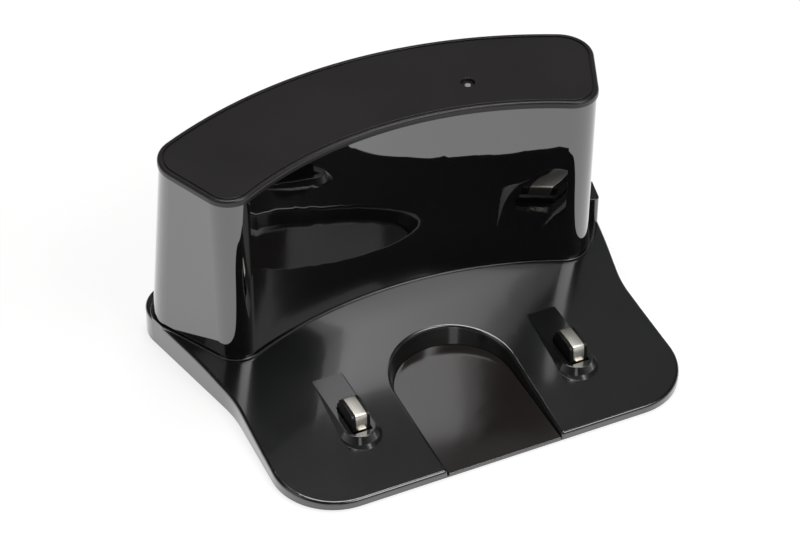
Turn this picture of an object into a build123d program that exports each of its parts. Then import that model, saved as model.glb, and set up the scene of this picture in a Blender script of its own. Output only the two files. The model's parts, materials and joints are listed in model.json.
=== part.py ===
from build123d import *
from math import cos, radians, sin, sqrt, tan
import os

# Robot vacuum charging dock, in millimetres.
# +Z is up, -Y faces the robot, and the origin is on the floor under the middle of the dock.

# Base plan; a share is a part of the base depth
base_depth = 197.0
front_half_width = 111.0
waist_narrowing = 2.3
waist_share = 0.4203
flare_angle = 12.3
rear_arc_radius = 300.0
front_corner_radius = 32.0
waist_radius = 70.0
rear_corner_radius = 19.0

# Base heights
floor_gap = 0.8
front_height = 5.0
ramp_middle_height = 9.6
deck_height = 15.9
deck_before_upright = 11.2
base_wall = 2.2
base_edge_round = 1.6
feature_root = 3.0
crease_radius = 150.0
cut_margin = 12.0
edge_margin = 6.0
top_face_tilt = 25.0
corner_steps = 20
near = 0.01

# Caster recess
recess_half_width = 30.7
recess_straight_share = 0.2858
recess_draft = 14.0
recess_wall = 1.8
recess_floor = 1.0
recess_edge_round = 1.6
pad_thickness = 1.0
pad_clearance = 0.15

# Contact bosses
contact_spacing = 120.0
boss_top = 12.0
boss_foot_height = 5.0
boss_foot_half_width = 12.1
boss_draft = 30.0
boss_edge_round = 0.6
boss_skirt_top = 8.3
boss_skirt_draft = 62.0
boss_nose_share = 0.2061
boss_length_share = 0.2178

# Spring contacts
slot_width = 10.5
slot_before_nose = 4.6
slot_length = 21.3
contact_top = 21.0
contact_travel = 4.5
strip_width = 6.6
strip_thickness = 0.5
strip_tab_width = 4.4
strip_tab_length = 1.2
carrier_clearance = 0.5
carrier_front_gap = 1.8
carrier_front_drop = 9.0
carrier_back_drop = 6.0
flange_thickness = 1.5
flange_overhang = 1.5
travel_reserve = 0.4
stop_gap = 0.3
spring_bore = 6.4
spring_ceiling = 16.8
spring_mean_diameter = 4.9
spring_wire = 0.7
spring_turns = 5
spring_post_diameter = 3.4
spring_post_height = 2.5

# Bends of the contact strip: how far in from the end of its carrier, how far below its top, and radius
strip_back_bends = ((1.4, 5.0, 0.0), (2.6, 1.1, 2.0), (8.0, 0.25, 14.0))
strip_front_bends = ((0.9, 0.8, 1.5), (0.2, 8.6, 0.0))

# Upright plan and heights
nest_radius = 187.5
foot_nest_radius = 216.0
upright_depth = 59.1
front_foot_spread = 4.5
back_foot_spread = 7.6
rear_ledge = 2.1
end_ledge = 19.7
end_top_spread = 4.0
foot_end_angle = 27.9
top_end_angle = 23.0
upright_front_round = 13.9
upright_rear_round = 18.3
upright_wall = 2.2
upright_seat_gap = 0.3
dock_height = 117.7
lid_overhang = 0.7
window_seam_y = 66.0
seam_gap = 0.2
foot_lip_width = 0.9
foot_lip_height = 0.7
foot_lip_round = 0.4

# Lid
lid_rim_height = 3.4
lid_rim_width = 3.2
lid_panel_drop = 0.3
lid_groove_width = 0.8
lid_groove_depth = 0.7
lid_groove_round = 0.25
lid_top_thickness = 2.0
lid_skirt_depth = 5.0
lid_skirt_wall = 1.6
lid_edge_round = 1.4
fit_gap = 0.3

# Status light
light_x = 47.8
light_from_front = 21.64
light_recess_diameter = 7.3
light_recess_depth = 1.9
light_boss_diameter = 11.0
light_floor = 1.6
pipe_diameter = 3.3
pipe_clearance = 0.05
pipe_proud = 0.3
pipe_end_round = 0.4
pipe_flange_width = 1.2
pipe_flange_thickness = 1.1
lamp_length = 4.0
lamp_width = 3.4
lamp_height = 1.6
lamp_dome_diameter = 3.0
lamp_dome_height = 1.5
lamp_dome_round = 0.9
lamp_gap = 0.3

# Inner frame and electronics
frame_floor = 2.2
board_half_width = 65.0
board_thickness = 1.6
board_below_lid = 14.3
rail_width = 7.0
rail_depth = 8.0
rail_height = 46.0
rail_clearance = 0.1
connector_length = 12.0
connector_depth = 7.0
connector_height = 8.0
connector_wall = 1.2
connector_from_edge = 16.0
connector_rise = 14.0
emitter_diameter = 5.0
emitter_length = 8.6
emitter_height = 66.0
emitter_rim_width = 0.4
emitter_rim_length = 1.0
emitter_tip_flat = 0.3
emitter_count = 4
emitter_spacing = 32.0
shroud_end_length = 10.0
shroud_height = 16.0
shroud_depth = 7.0
shroud_stand_off = 4.0
shroud_leg_width = 4.0

# Power socket and its block at the right end
block_from_waist = 42.5
block_angle = 26.0
block_top = 31.6
block_length = 15.5
block_round = 2.5
block_reach = 25.0
cap_thickness = 1.0
cap_edge_round = 0.3
socket_from_waist = 51.2
socket_height = 23.0
socket_pocket_diameter = 10.0
jack_width = 9.0
jack_height = 8.6
jack_length = 13.0
snout_diameter = 8.0
snout_clearance = 0.4
plug_bore = 6.2
plug_pin = 2.0
plug_bore_depth = 10.0

# Bottom plate, feet, ballast and screws
plate_thickness = 2.0
plate_clearance = 0.3
foot_diameter = 12.6
foot_thickness = 2.0
foot_edge_round = 0.4
front_foot_inset = (33.0, 20.5)
rear_foot_inset = (14.0, 38.5)
front_screw_inset = (15.0, 40.5)
middle_screw_inset = (12.0, 100.5)
rear_screw_x = 58.0
rear_screw_inset = 16.5
upright_screw_spots = ((82.0, 12.3), (34.0, 42.3))
screw_boss_diameter = 7.0
screw_diameter = 3.0
screw_head_diameter = 5.6
screw_head_height = 1.6
screw_clearance = 0.2
screw_end_gap = 0.1
base_screw_reach = 3.2
upright_screw_reach = 7.0
tower_height = 12.0
ballast_length = 104.0
ballast_width = 40.0
ballast_thickness = 6.0
ballast_behind_front = 20.3
ballast_corner_radius = 4.0

# Values that follow from the sizes above
front_y = -base_depth / 2
back_y = base_depth / 2
waist_y = front_y + waist_share * base_depth
waist_half_width = front_half_width - waist_narrowing
recess_center_y = front_y + recess_straight_share * base_depth
boss_nose_y = front_y + boss_nose_share * base_depth
boss_back_y = boss_nose_y + boss_length_share * base_depth
slot_front_y = boss_nose_y - slot_before_nose
top_back_radius = nest_radius + upright_depth
foot_back_radius = top_back_radius + back_foot_spread
foot_back_y = back_y - rear_ledge
top_back_y = foot_back_y - back_foot_spread
upright_front_y = top_back_y - upright_depth
foot_front_y = upright_front_y - front_foot_spread
nest_center_y = upright_front_y - nest_radius
deck_start_y = foot_front_y - deck_before_upright
light_y = nest_center_y + sqrt((nest_radius + light_from_front) ** 2 - light_x**2)
block_front_y = waist_y + block_from_waist
block_back_y = block_front_y + block_length
socket_y = waist_y + socket_from_waist
ballast_y = upright_front_y + ballast_behind_front
foot_places = (
    (front_half_width - front_foot_inset[0], front_y + front_foot_inset[1]),
    (front_half_width - rear_foot_inset[0], back_y - rear_foot_inset[1]),
)
base_screw_places = (
    (front_half_width - front_screw_inset[0], front_y + front_screw_inset[1]),
    (front_half_width - middle_screw_inset[0], front_y + middle_screw_inset[1]),
    (rear_screw_x, back_y - rear_screw_inset),
)
upright_screw_places = tuple((x, upright_front_y + inward) for x, inward in upright_screw_spots)
cavity_floor = floor_gap + plate_thickness
recess_floor_top = floor_gap + recess_floor
flange_bottom = cavity_floor + travel_reserve + contact_travel
flange_top = flange_bottom + flange_thickness
flange_pocket_top = flange_top + stop_gap
lid_bottom = dock_height - lid_rim_height
board_top = lid_bottom - board_below_lid
panel_top = dock_height - lid_panel_drop
light_floor_top = panel_top - light_recess_depth
shell_inset = lid_overhang + upright_wall + fit_gap
slot_center_y = slot_front_y + slot_length / 2
frame_top = deck_height + frame_floor
board_front_y = light_y - board_thickness / 2
emitter_places = [(i - (emitter_count - 1) / 2) * emitter_spacing for i in range(emitter_count)]
shroud_half_length = emitter_places[-1] + shroud_end_length
contact_sides = {"left": -contact_spacing / 2, "right": contact_spacing / 2}
plate_cut_half_width = (
    recess_half_width + recess_wall + plate_clearance + plate_thickness * tan(radians(recess_draft))
)


def flare_x(y):
    return waist_half_width + (y - waist_y) * tan(radians(flare_angle))


def rear_arc_y(x):
    return back_y - rear_arc_radius + sqrt(rear_arc_radius**2 - x**2)


def rear_corner():
    # Where the flared side meets the rear arc, found by stepping between the two.
    y = back_y - rear_corner_radius
    for _ in range(corner_steps):
        y = rear_arc_y(flare_x(y))
    return flare_x(y), y


def base_plan(grow=0.0):
    corner_x, corner_y = rear_corner()
    with BuildSketch() as plan:
        with BuildLine():
            Polyline(
                (-corner_x, corner_y),
                (-waist_half_width, waist_y),
                (-front_half_width, front_y),
                (front_half_width, front_y),
                (waist_half_width, waist_y),
                (corner_x, corner_y),
            )
            ThreePointArc((corner_x, corner_y), (0, back_y), (-corner_x, corner_y))
        make_face()
        fillet(plan.vertices().group_by(Axis.Y)[0], front_corner_radius)
        fillet(plan.vertices().group_by(Axis.Y)[-1], rear_corner_radius)
        waist = plan.vertices().filter_by(lambda v: abs(v.Y - waist_y) < near)
        fillet(waist, waist_radius)
        if grow:
            offset(amount=grow)
    return plan.sketch


def ramp_face(drop=0.0):
    # The side profile of the top: a hollow ramp up to a level deck.
    with BuildSketch() as profile:
        with BuildLine():
            ThreePointArc(
                (front_y, front_height - drop),
                ((front_y + deck_start_y) / 2, ramp_middle_height - drop),
                (deck_start_y, deck_height - drop),
            )
            Polyline(
                (deck_start_y, deck_height - drop),
                (back_y + cut_margin, deck_height - drop),
                (back_y + cut_margin, -cut_margin),
                (front_y - cut_margin, -cut_margin),
                (front_y - cut_margin, front_height - drop),
                (front_y, front_height - drop),
            )
        make_face()
        crease = profile.vertices().filter_by(lambda v: abs(v.X - deck_start_y) < near)
        fillet(crease, crease_radius)
    return profile.sketch


def recess_plan(half_width, front=front_y - cut_margin):
    with BuildSketch() as plan:
        with BuildLine():
            Polyline(
                (-half_width, recess_center_y),
                (-half_width, front),
                (half_width, front),
                (half_width, recess_center_y),
            )
            RadiusArc((half_width, recess_center_y), (-half_width, recess_center_y), -half_width)
        make_face()
    return plan.sketch


def level_at(height):
    # 0 at the foot of the upright and 1 under its lid.
    return (height - deck_height) / (lid_bottom - deck_height)


def between(foot_value, top_value, level):
    return foot_value + (top_value - foot_value) * level


def end_line_x(y, level, inset=0.0):
    # The right end of the upright at one level, moved in by the inset, at one place along its depth.
    angle = radians(between(foot_end_angle, top_end_angle, level))
    at_waist = waist_half_width - end_ledge + end_top_spread * level
    return at_waist + (y - waist_y) * tan(angle) - inset / cos(angle)


def end_point(center_y, radius, level, inset):
    # Where that end line crosses a circle of the plan.
    angle = radians(between(foot_end_angle, top_end_angle, level))
    ux, uy = sin(angle), cos(angle)
    px = end_line_x(center_y, level, inset)
    along = px * ux
    reach = sqrt(along**2 - px**2 + radius**2) - along
    return px + reach * ux, center_y + reach * uy


def sector_plan(inset, level, rear_round):
    # The upright's outline at one level, moved in by the inset.
    front_radius = between(foot_nest_radius, nest_radius, level) + inset
    front_middle = between(foot_front_y, upright_front_y, level) + inset
    back_radius = between(foot_back_radius, top_back_radius, level) - inset
    back_middle = between(foot_back_y, top_back_y, level) - inset
    front_x, front_corner_y = end_point(front_middle - front_radius, front_radius, level, inset)
    back_x, back_corner_y = end_point(back_middle - back_radius, back_radius, level, inset)
    with BuildSketch() as plan:
        with BuildLine():
            ThreePointArc((-front_x, front_corner_y), (0, front_middle), (front_x, front_corner_y))
            Line((front_x, front_corner_y), (back_x, back_corner_y))
            ThreePointArc((back_x, back_corner_y), (0, back_middle), (-back_x, back_corner_y))
            Line((-back_x, back_corner_y), (-front_x, front_corner_y))
        make_face()
        fillet(plan.vertices().group_by(Axis.Y)[0], upright_front_round - inset)
        fillet(plan.vertices().group_by(Axis.Y)[-1], rear_round)
    return plan.sketch


def upright_solid(inset, low, high):
    # Straight walls ruled from the outline at one height to the outline at the other.
    with BuildPart() as body:
        for height in (low, high):
            with BuildSketch(Plane.XY.offset(height)):
                add(sector_plan(inset, level_at(height), upright_rear_round - inset))
        loft(ruled=True)
    return body.part


def seat_plan(gap):
    # The outline that a lip or a block on the deck leaves free for the foot of the upright.
    return sector_plan(lid_overhang - gap, 0, upright_rear_round)


def mirrored(places):
    return [(side * x, y) for x, y in places for side in (-1, 1)]


jack_front_x = end_line_x(socket_y - jack_width / 2, level_at(socket_height), shell_inset)
snout_front_x = end_line_x(socket_y, level_at(socket_height), -upright_seat_gap)


# Base casing: one moulded shell with the ramp, the recess, the bosses and the socket block
def block_plan():
    block_corner_x = flare_x(block_front_y)
    with BuildSketch() as plan:
        add(base_plan())
        with BuildLine():
            depth = block_back_y - block_front_y
            slope = tan(radians(block_angle))
            Polyline(
                (block_corner_x + block_reach, block_front_y - block_reach * slope),
                (block_corner_x - block_reach, block_front_y + block_reach * slope),
                (block_corner_x - block_reach, block_front_y + depth),
                (block_corner_x + block_reach, block_front_y + depth),
                close=True,
            )
        make_face(mode=Mode.INTERSECT)
        add(seat_plan(upright_seat_gap), mode=Mode.SUBTRACT)
        outer = plan.vertices().sort_by(Axis.Y)[0]
        fillet(outer, block_round)
    return plan.sketch


with BuildPart() as base_cavity:
    with BuildSketch():
        add(base_plan(-base_wall))
    extrude(amount=deck_height)
    with BuildSketch(Plane.YZ):
        add(ramp_face(base_wall))
    extrude(amount=2 * front_half_width, both=True, mode=Mode.INTERSECT)
    with BuildSketch():
        add(recess_plan(recess_half_width + recess_wall))
    extrude(amount=recess_floor_top, mode=Mode.SUBTRACT)
    with BuildSketch(Plane.XY.offset(recess_floor_top)):
        add(recess_plan(recess_half_width + recess_wall))
    extrude(amount=deck_height, taper=-recess_draft, mode=Mode.SUBTRACT)
    with Locations([(x, y, 0) for x, y in mirrored(base_screw_places)]):
        Cylinder(
            screw_boss_diameter / 2,
            2 * deck_height,
            align=(Align.CENTER, Align.CENTER, Align.CENTER),
            mode=Mode.SUBTRACT,
        )

with BuildPart() as base_casing:
    with BuildSketch(Plane.XY.offset(floor_gap)):
        add(base_plan())
    extrude(amount=deck_height - floor_gap)
    with BuildSketch(Plane.YZ):
        add(ramp_face())
    extrude(amount=2 * front_half_width, both=True, mode=Mode.INTERSECT)
    top_faces = base_casing.faces().filter_by(
        lambda f: f.normal_at().Z > cos(radians(top_face_tilt))
    )
    rim = top_faces.edges().filter_by(
        lambda e: e.center().Z > front_height - near
        and not (abs(e.center().X) < 1 and abs(e.center().Y) < back_y - cut_margin)
    )
    fillet(rim, base_edge_round)
    with BuildSketch(Plane.XY.offset(boss_foot_height)):
        for x in contact_sides.values():
            with Locations((x, boss_nose_y)):
                Circle(boss_foot_half_width)
            with Locations((x, (boss_nose_y + boss_back_y) / 2)):
                Rectangle(2 * boss_foot_half_width, boss_back_y - boss_nose_y)
    extrude(amount=boss_top - boss_foot_height, taper=boss_draft)
    top_arcs = base_casing.edges().filter_by(GeomType.CIRCLE).filter_by(
        lambda e: abs(e.center().Z - boss_top) < near and e.center().Y < boss_nose_y
    )
    fillet(top_arcs, boss_edge_round)
    skirt_rise = boss_skirt_top - boss_foot_height
    skirt_top_radius = boss_foot_half_width - skirt_rise * tan(radians(boss_draft))
    with BuildSketch(Plane.XY.offset(boss_foot_height)):
        with Locations([(x, boss_nose_y) for x in contact_sides.values()]):
            Circle(skirt_top_radius + skirt_rise * tan(radians(boss_skirt_draft)))
    extrude(amount=skirt_rise, taper=boss_skirt_draft)
    with BuildSketch(Plane.XY.offset(recess_floor_top)):
        add(recess_plan(recess_half_width))
    extrude(amount=deck_height, taper=-recess_draft, mode=Mode.SUBTRACT)
    recess_rim = base_casing.edges().filter_by(
        lambda e: abs(e.center().X) < recess_half_width + edge_margin
        and e.center().Z > front_height + near
        and e.center().Y < recess_center_y + recess_half_width + edge_margin
        and e.length > recess_half_width
    )
    fillet(recess_rim, recess_edge_round)
    with BuildSketch(Plane.XY.offset(deck_height - feature_root)):
        add(seat_plan(upright_seat_gap + foot_lip_width))
        add(base_plan(), mode=Mode.INTERSECT)
    extrude(amount=feature_root + foot_lip_height)
    lip_rim = base_casing.edges().filter_by(
        lambda e: abs(e.center().Z - deck_height - foot_lip_height) < near
    )
    fillet(lip_rim, foot_lip_round)
    with BuildSketch(Plane.XY.offset(deck_height)):
        add(seat_plan(upright_seat_gap))
    extrude(amount=foot_lip_height, mode=Mode.SUBTRACT)
    with BuildSketch(Plane.XY.offset(deck_height - feature_root)):
        add(block_plan())
    extrude(amount=block_top - cap_thickness - deck_height + feature_root)
    add(base_cavity.part, mode=Mode.SUBTRACT)
    with Locations((snout_front_x, socket_y, socket_height)):
        Cylinder(
            socket_pocket_diameter / 2,
            cut_margin,
            rotation=(0, 90, 0),
            align=(Align.CENTER, Align.CENTER, Align.MIN),
            mode=Mode.SUBTRACT,
        )
        Cylinder(
            snout_diameter / 2 + snout_clearance,
            cut_margin,
            rotation=(0, 90, 0),
            mode=Mode.SUBTRACT,
        )
    for x in contact_sides.values():
        with Locations((x, slot_center_y, 0)):
            Box(
                slot_width,
                slot_length,
                2 * deck_height,
                align=(Align.CENTER, Align.CENTER, Align.MIN),
                mode=Mode.SUBTRACT,
            )
            Box(
                slot_width + 2 * flange_overhang,
                slot_length + 2 * flange_overhang,
                flange_pocket_top,
                align=(Align.CENTER, Align.CENTER, Align.MIN),
                mode=Mode.SUBTRACT,
            )
    with Locations([(x, y, floor_gap) for x, y in mirrored(base_screw_places)]):
        Cylinder(
            screw_boss_diameter / 2 + screw_clearance,
            plate_thickness,
            align=(Align.CENTER, Align.CENTER, Align.MIN),
            mode=Mode.SUBTRACT,
        )
        Cylinder(
            screw_diameter / 2,
            plate_thickness + base_screw_reach,
            align=(Align.CENTER, Align.CENTER, Align.MIN),
            mode=Mode.SUBTRACT,
        )
    with Locations([(x, y, 0) for x, y in mirrored(upright_screw_places)]):
        Cylinder(
            screw_diameter / 2 + screw_clearance,
            2 * deck_height,
            align=(Align.CENTER, Align.CENTER, Align.MIN),
            mode=Mode.SUBTRACT,
        )

# Bottom plate with foot seats, screw holes and spring posts
with BuildPart() as bottom_plate:
    with BuildSketch(Plane.XY.offset(floor_gap)):
        add(base_plan(-base_wall - plate_clearance))
        add(recess_plan(plate_cut_half_width), mode=Mode.SUBTRACT)
    extrude(amount=plate_thickness)
    with Locations([(x, y, 0) for x, y in mirrored(foot_places)]):
        Cylinder(
            foot_diameter / 2 + plate_clearance / 2,
            foot_thickness,
            align=(Align.CENTER, Align.CENTER, Align.MIN),
            mode=Mode.SUBTRACT,
        )
    with Locations([(x, y, floor_gap) for x, y in mirrored(base_screw_places)]):
        Cylinder(
            screw_diameter / 2 + screw_clearance,
            plate_thickness,
            align=(Align.CENTER, Align.CENTER, Align.MIN),
            mode=Mode.SUBTRACT,
        )
        Cylinder(
            screw_head_diameter / 2 + screw_clearance,
            screw_head_height,
            align=(Align.CENTER, Align.CENTER, Align.MIN),
            mode=Mode.SUBTRACT,
        )
    with Locations([(x, slot_center_y, cavity_floor) for x in contact_sides.values()]):
        Cylinder(
            spring_post_diameter / 2,
            spring_post_height,
            align=(Align.CENTER, Align.CENTER, Align.MIN),
        )

# Glossy pad in the caster recess
with BuildPart() as recess_pad:
    with BuildSketch(Plane.XY.offset(recess_floor_top)):
        add(recess_plan(recess_half_width - pad_clearance, front_y))
    extrude(amount=pad_thickness)
    fillet(recess_pad.edges().group_by(Axis.Z)[-1].sort_by(Axis.Y)[0], pad_thickness / 2)

# Upright: glossy window over the front and ends, cover at the back
with BuildPart() as ir_window:
    add(upright_solid(lid_overhang, deck_height + upright_seat_gap, lid_bottom))
    add(upright_solid(lid_overhang + upright_wall, deck_height, dock_height), mode=Mode.SUBTRACT)
    split(bisect_by=Plane.XZ.offset(-window_seam_y), keep=Keep.TOP)
    with Locations((jack_front_x - fit_gap, socket_y, socket_height)):
        Cylinder(
            snout_diameter / 2 + snout_clearance,
            cut_margin,
            rotation=(0, 90, 0),
            align=(Align.CENTER, Align.CENTER, Align.MIN),
            mode=Mode.SUBTRACT,
        )
        Box(
            cut_margin,
            snout_diameter + 2 * snout_clearance,
            socket_height - deck_height,
            align=(Align.MIN, Align.CENTER, Align.MAX),
            mode=Mode.SUBTRACT,
        )

with BuildPart() as rear_cover:
    add(upright_solid(lid_overhang, deck_height + upright_seat_gap, lid_bottom))
    add(upright_solid(lid_overhang + upright_wall, deck_height, dock_height), mode=Mode.SUBTRACT)
    split(bisect_by=Plane.XZ.offset(-window_seam_y - seam_gap), keep=Keep.BOTTOM)

# Lid: rounded rim, sunk panel, skirt and the seat of the light pipe
with BuildPart() as lid:
    with BuildSketch(Plane.XY.offset(lid_bottom)):
        add(sector_plan(0, 1, upright_rear_round))
    extrude(amount=lid_rim_height)
    fillet(lid.edges().group_by(Axis.Z)[-1], lid_edge_round)
    rim_plan = sector_plan(
        lid_rim_width - lid_groove_width, 1, upright_rear_round - lid_rim_width + lid_groove_width
    )
    with BuildSketch(Plane.XY.offset(panel_top)):
        add(rim_plan)
    extrude(amount=lid_panel_drop, mode=Mode.SUBTRACT)
    with BuildSketch(Plane.XY.offset(panel_top - lid_groove_depth)):
        add(rim_plan)
        add(sector_plan(lid_rim_width, 1, upright_rear_round - lid_rim_width), mode=Mode.SUBTRACT)
    extrude(amount=lid_groove_depth, mode=Mode.SUBTRACT)
    rim_face = lid.faces().sort_by(Axis.Z)[-1]
    level_faces = lid.faces().filter_by(lambda f: abs(f.center().Z - panel_top) < near)
    panel_face = level_faces.sort_by(SortBy.AREA)[-1]
    fillet(rim_face.inner_wires()[0].edges() + panel_face.outer_wire().edges(), lid_groove_round)
    skirt_inset = shell_inset + fit_gap
    with BuildSketch(Plane.XY.offset(lid_bottom - lid_skirt_depth)):
        add(sector_plan(skirt_inset, 1, upright_rear_round - skirt_inset))
    extrude(amount=lid_skirt_depth)
    core_inset = skirt_inset + lid_skirt_wall
    with BuildSketch(Plane.XY.offset(lid_bottom - lid_skirt_depth)):
        add(sector_plan(core_inset, 1, upright_rear_round - core_inset))
    extrude(
        amount=lid_skirt_depth + lid_rim_height - lid_panel_drop - lid_top_thickness, mode=Mode.SUBTRACT
    )
    with Locations((light_x, light_y, light_floor_top - light_floor)):
        Cylinder(
            light_boss_diameter / 2,
            light_recess_depth + light_floor,
            align=(Align.CENTER, Align.CENTER, Align.MIN),
        )
    with Locations((light_x, light_y, light_floor_top)):
        Cylinder(
            light_recess_diameter / 2,
            light_recess_depth,
            align=(Align.CENTER, Align.CENTER, Align.MIN),
            mode=Mode.SUBTRACT,
        )
    recess_edge = lid.edges().filter_by(GeomType.CIRCLE).filter_by(
        lambda e: abs(e.center().Z - panel_top) < near
        and abs(e.radius - light_recess_diameter / 2) < near
    )
    fillet(recess_edge, lid_groove_round)
    with Locations((light_x, light_y, light_floor_top - light_floor)):
        Cylinder(
            pipe_diameter / 2 + pipe_clearance,
            light_floor,
            align=(Align.CENTER, Align.CENTER, Align.MIN),
            mode=Mode.SUBTRACT,
        )

# Light pipe from the board's lamp to the lid
with BuildPart() as light_pipe:
    pipe_bottom = board_top + lamp_height + lamp_dome_height + lamp_gap
    with Locations((light_x, light_y, pipe_bottom)):
        Cylinder(
            pipe_diameter / 2,
            light_floor_top + pipe_proud - pipe_bottom,
            align=(Align.CENTER, Align.CENTER, Align.MIN),
        )
    with Locations((light_x, light_y, light_floor_top - light_floor - pipe_clearance)):
        Cylinder(
            pipe_diameter / 2 + pipe_flange_width,
            pipe_flange_thickness,
            align=(Align.CENTER, Align.CENTER, Align.MAX),
        )
    fillet(light_pipe.edges().group_by(Axis.Z)[-1], pipe_end_round)

# Inner frame: floor, screw towers and the two rails that hold the board
with BuildPart() as inner_frame:
    add(upright_solid(shell_inset, deck_height, frame_top))
    with Locations([(x, y, frame_top) for x, y in mirrored(upright_screw_places)]):
        Cylinder(
            screw_boss_diameter / 2,
            tower_height,
            align=(Align.CENTER, Align.CENTER, Align.MIN),
        )
    with Locations([(side * board_half_width, light_y, frame_top) for side in (-1, 1)]):
        Box(rail_width, rail_depth, rail_height, align=(Align.CENTER, Align.CENTER, Align.MIN))
    with Locations((0, light_y, frame_top)):
        Box(
            2 * (board_half_width + rail_clearance),
            board_thickness + 2 * rail_clearance,
            rail_height,
            align=(Align.CENTER, Align.CENTER, Align.MIN),
            mode=Mode.SUBTRACT,
        )
    with Locations([(x, y, deck_height) for x, y in mirrored(upright_screw_places)]):
        Cylinder(
            screw_diameter / 2,
            upright_screw_reach,
            align=(Align.CENTER, Align.CENTER, Align.MIN),
            mode=Mode.SUBTRACT,
        )

# Board, its lamp, connector, beacons and their shroud
with BuildPart() as main_board:
    with Locations((0, light_y, frame_top)):
        Box(
            2 * board_half_width,
            board_thickness,
            board_top - frame_top,
            align=(Align.CENTER, Align.CENTER, Align.MIN),
        )

with BuildPart() as status_lamp:
    with Locations((light_x, light_y, board_top)):
        Box(lamp_length, lamp_width, lamp_height, align=(Align.CENTER, Align.CENTER, Align.MIN))
        Cylinder(
            lamp_dome_diameter / 2,
            lamp_height + lamp_dome_height,
            align=(Align.CENTER, Align.CENTER, Align.MIN),
        )
    fillet(status_lamp.edges().group_by(Axis.Z)[-1], lamp_dome_round)

with BuildPart() as board_connector:
    connector_x = board_half_width - connector_from_edge
    board_back_y = light_y + board_thickness / 2
    with Locations((connector_x, board_back_y, frame_top + connector_rise)):
        Box(
            connector_length,
            connector_depth,
            connector_height,
            align=(Align.CENTER, Align.MIN, Align.CENTER),
        )
    with Locations((connector_x, board_back_y + connector_depth, frame_top + connector_rise)):
        Box(
            connector_length - 2 * connector_wall,
            connector_depth - connector_wall,
            connector_height - 2 * connector_wall,
            align=(Align.CENTER, Align.MAX, Align.CENTER),
            mode=Mode.SUBTRACT,
        )

emitters = {}
for number, x in enumerate(emitter_places, 1):
    with BuildPart() as emitter:
        with Locations((x, board_front_y, emitter_height)):
            Cylinder(
                emitter_diameter / 2,
                emitter_length,
                rotation=(90, 0, 0),
                align=(Align.CENTER, Align.CENTER, Align.MIN),
            )
            Cylinder(
                emitter_diameter / 2 + emitter_rim_width,
                emitter_rim_length,
                rotation=(90, 0, 0),
                align=(Align.CENTER, Align.CENTER, Align.MIN),
            )
        fillet(emitter.edges().group_by(Axis.Y)[0], emitter_diameter / 2 - emitter_tip_flat)
    emitters[f"beacon_led_{number}"] = emitter

with BuildPart() as beacon_shroud:
    shroud_back = board_front_y - shroud_stand_off
    with Locations((0, shroud_back, emitter_height)):
        Box(
            2 * shroud_half_length,
            shroud_depth,
            shroud_height,
            align=(Align.CENTER, Align.MAX, Align.CENTER),
        )
    leg_x = shroud_half_length - shroud_leg_width / 2
    with Locations([(side * leg_x, board_front_y, emitter_height) for side in (-1, 1)]):
        Box(
            shroud_leg_width,
            shroud_stand_off + shroud_depth,
            shroud_height,
            align=(Align.CENTER, Align.MAX, Align.CENTER),
        )
    with Locations([(x, shroud_back, emitter_height) for x in emitter_places]):
        Cylinder(
            emitter_diameter / 2 + fit_gap,
            2 * shroud_depth + cut_margin,
            rotation=(90, 0, 0),
            mode=Mode.SUBTRACT,
        )

# Power socket with its bore and pin, and the cap of its block
with BuildPart() as power_socket:
    with Locations((jack_front_x, socket_y, socket_height)):
        Box(jack_length, jack_width, jack_height, align=(Align.MAX, Align.CENTER, Align.CENTER))
        Cylinder(
            snout_diameter / 2,
            snout_front_x - jack_front_x,
            rotation=(0, 90, 0),
            align=(Align.CENTER, Align.CENTER, Align.MIN),
        )
    with Locations((snout_front_x, socket_y, socket_height)):
        Cylinder(
            plug_bore / 2,
            plug_bore_depth,
            rotation=(0, -90, 0),
            align=(Align.CENTER, Align.CENTER, Align.MIN),
            mode=Mode.SUBTRACT,
        )
    with Locations((snout_front_x - plug_pin / 2, socket_y, socket_height)):
        Cylinder(
            plug_pin / 2,
            plug_bore_depth,
            rotation=(0, -90, 0),
            align=(Align.CENTER, Align.CENTER, Align.MIN),
        )

with BuildPart() as block_cap:
    with BuildSketch(Plane.XY.offset(block_top - cap_thickness)):
        add(block_plan())
    extrude(amount=cap_thickness)
    fillet(block_cap.edges().group_by(Axis.Z)[-1], cap_edge_round)

# Steel ballast under the upright
with BuildPart() as ballast_plate:
    with BuildSketch(Plane.XY.offset(cavity_floor)):
        with Locations((0, ballast_y)):
            RectangleRounded(ballast_length, ballast_width, ballast_corner_radius)
    extrude(amount=ballast_thickness)

# Rubber feet
feet = {}
for (x, y), row in zip(foot_places, ("front", "rear")):
    for side, hand in ((-1, "left"), (1, "right")):
        with BuildPart() as foot:
            with Locations((side * x, y, 0)):
                Cylinder(
                    foot_diameter / 2,
                    foot_thickness,
                    align=(Align.CENTER, Align.CENTER, Align.MIN),
                )
            fillet(foot.edges().group_by(Axis.Z)[0], foot_edge_round)
        feet[f"foot_{row}_{hand}"] = foot

# Screws: six up through the bottom plate, four up through the deck into the inner frame
with BuildPart() as base_screws:
    head_seat = floor_gap + screw_head_height
    with Locations([(x, y, head_seat) for x, y in mirrored(base_screw_places)]):
        Cylinder(
            screw_head_diameter / 2,
            screw_head_height - screw_end_gap,
            align=(Align.CENTER, Align.CENTER, Align.MAX),
        )
        Cylinder(
            screw_diameter / 2,
            plate_thickness - screw_head_height + base_screw_reach - screw_end_gap,
            align=(Align.CENTER, Align.CENTER, Align.MIN),
        )

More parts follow.
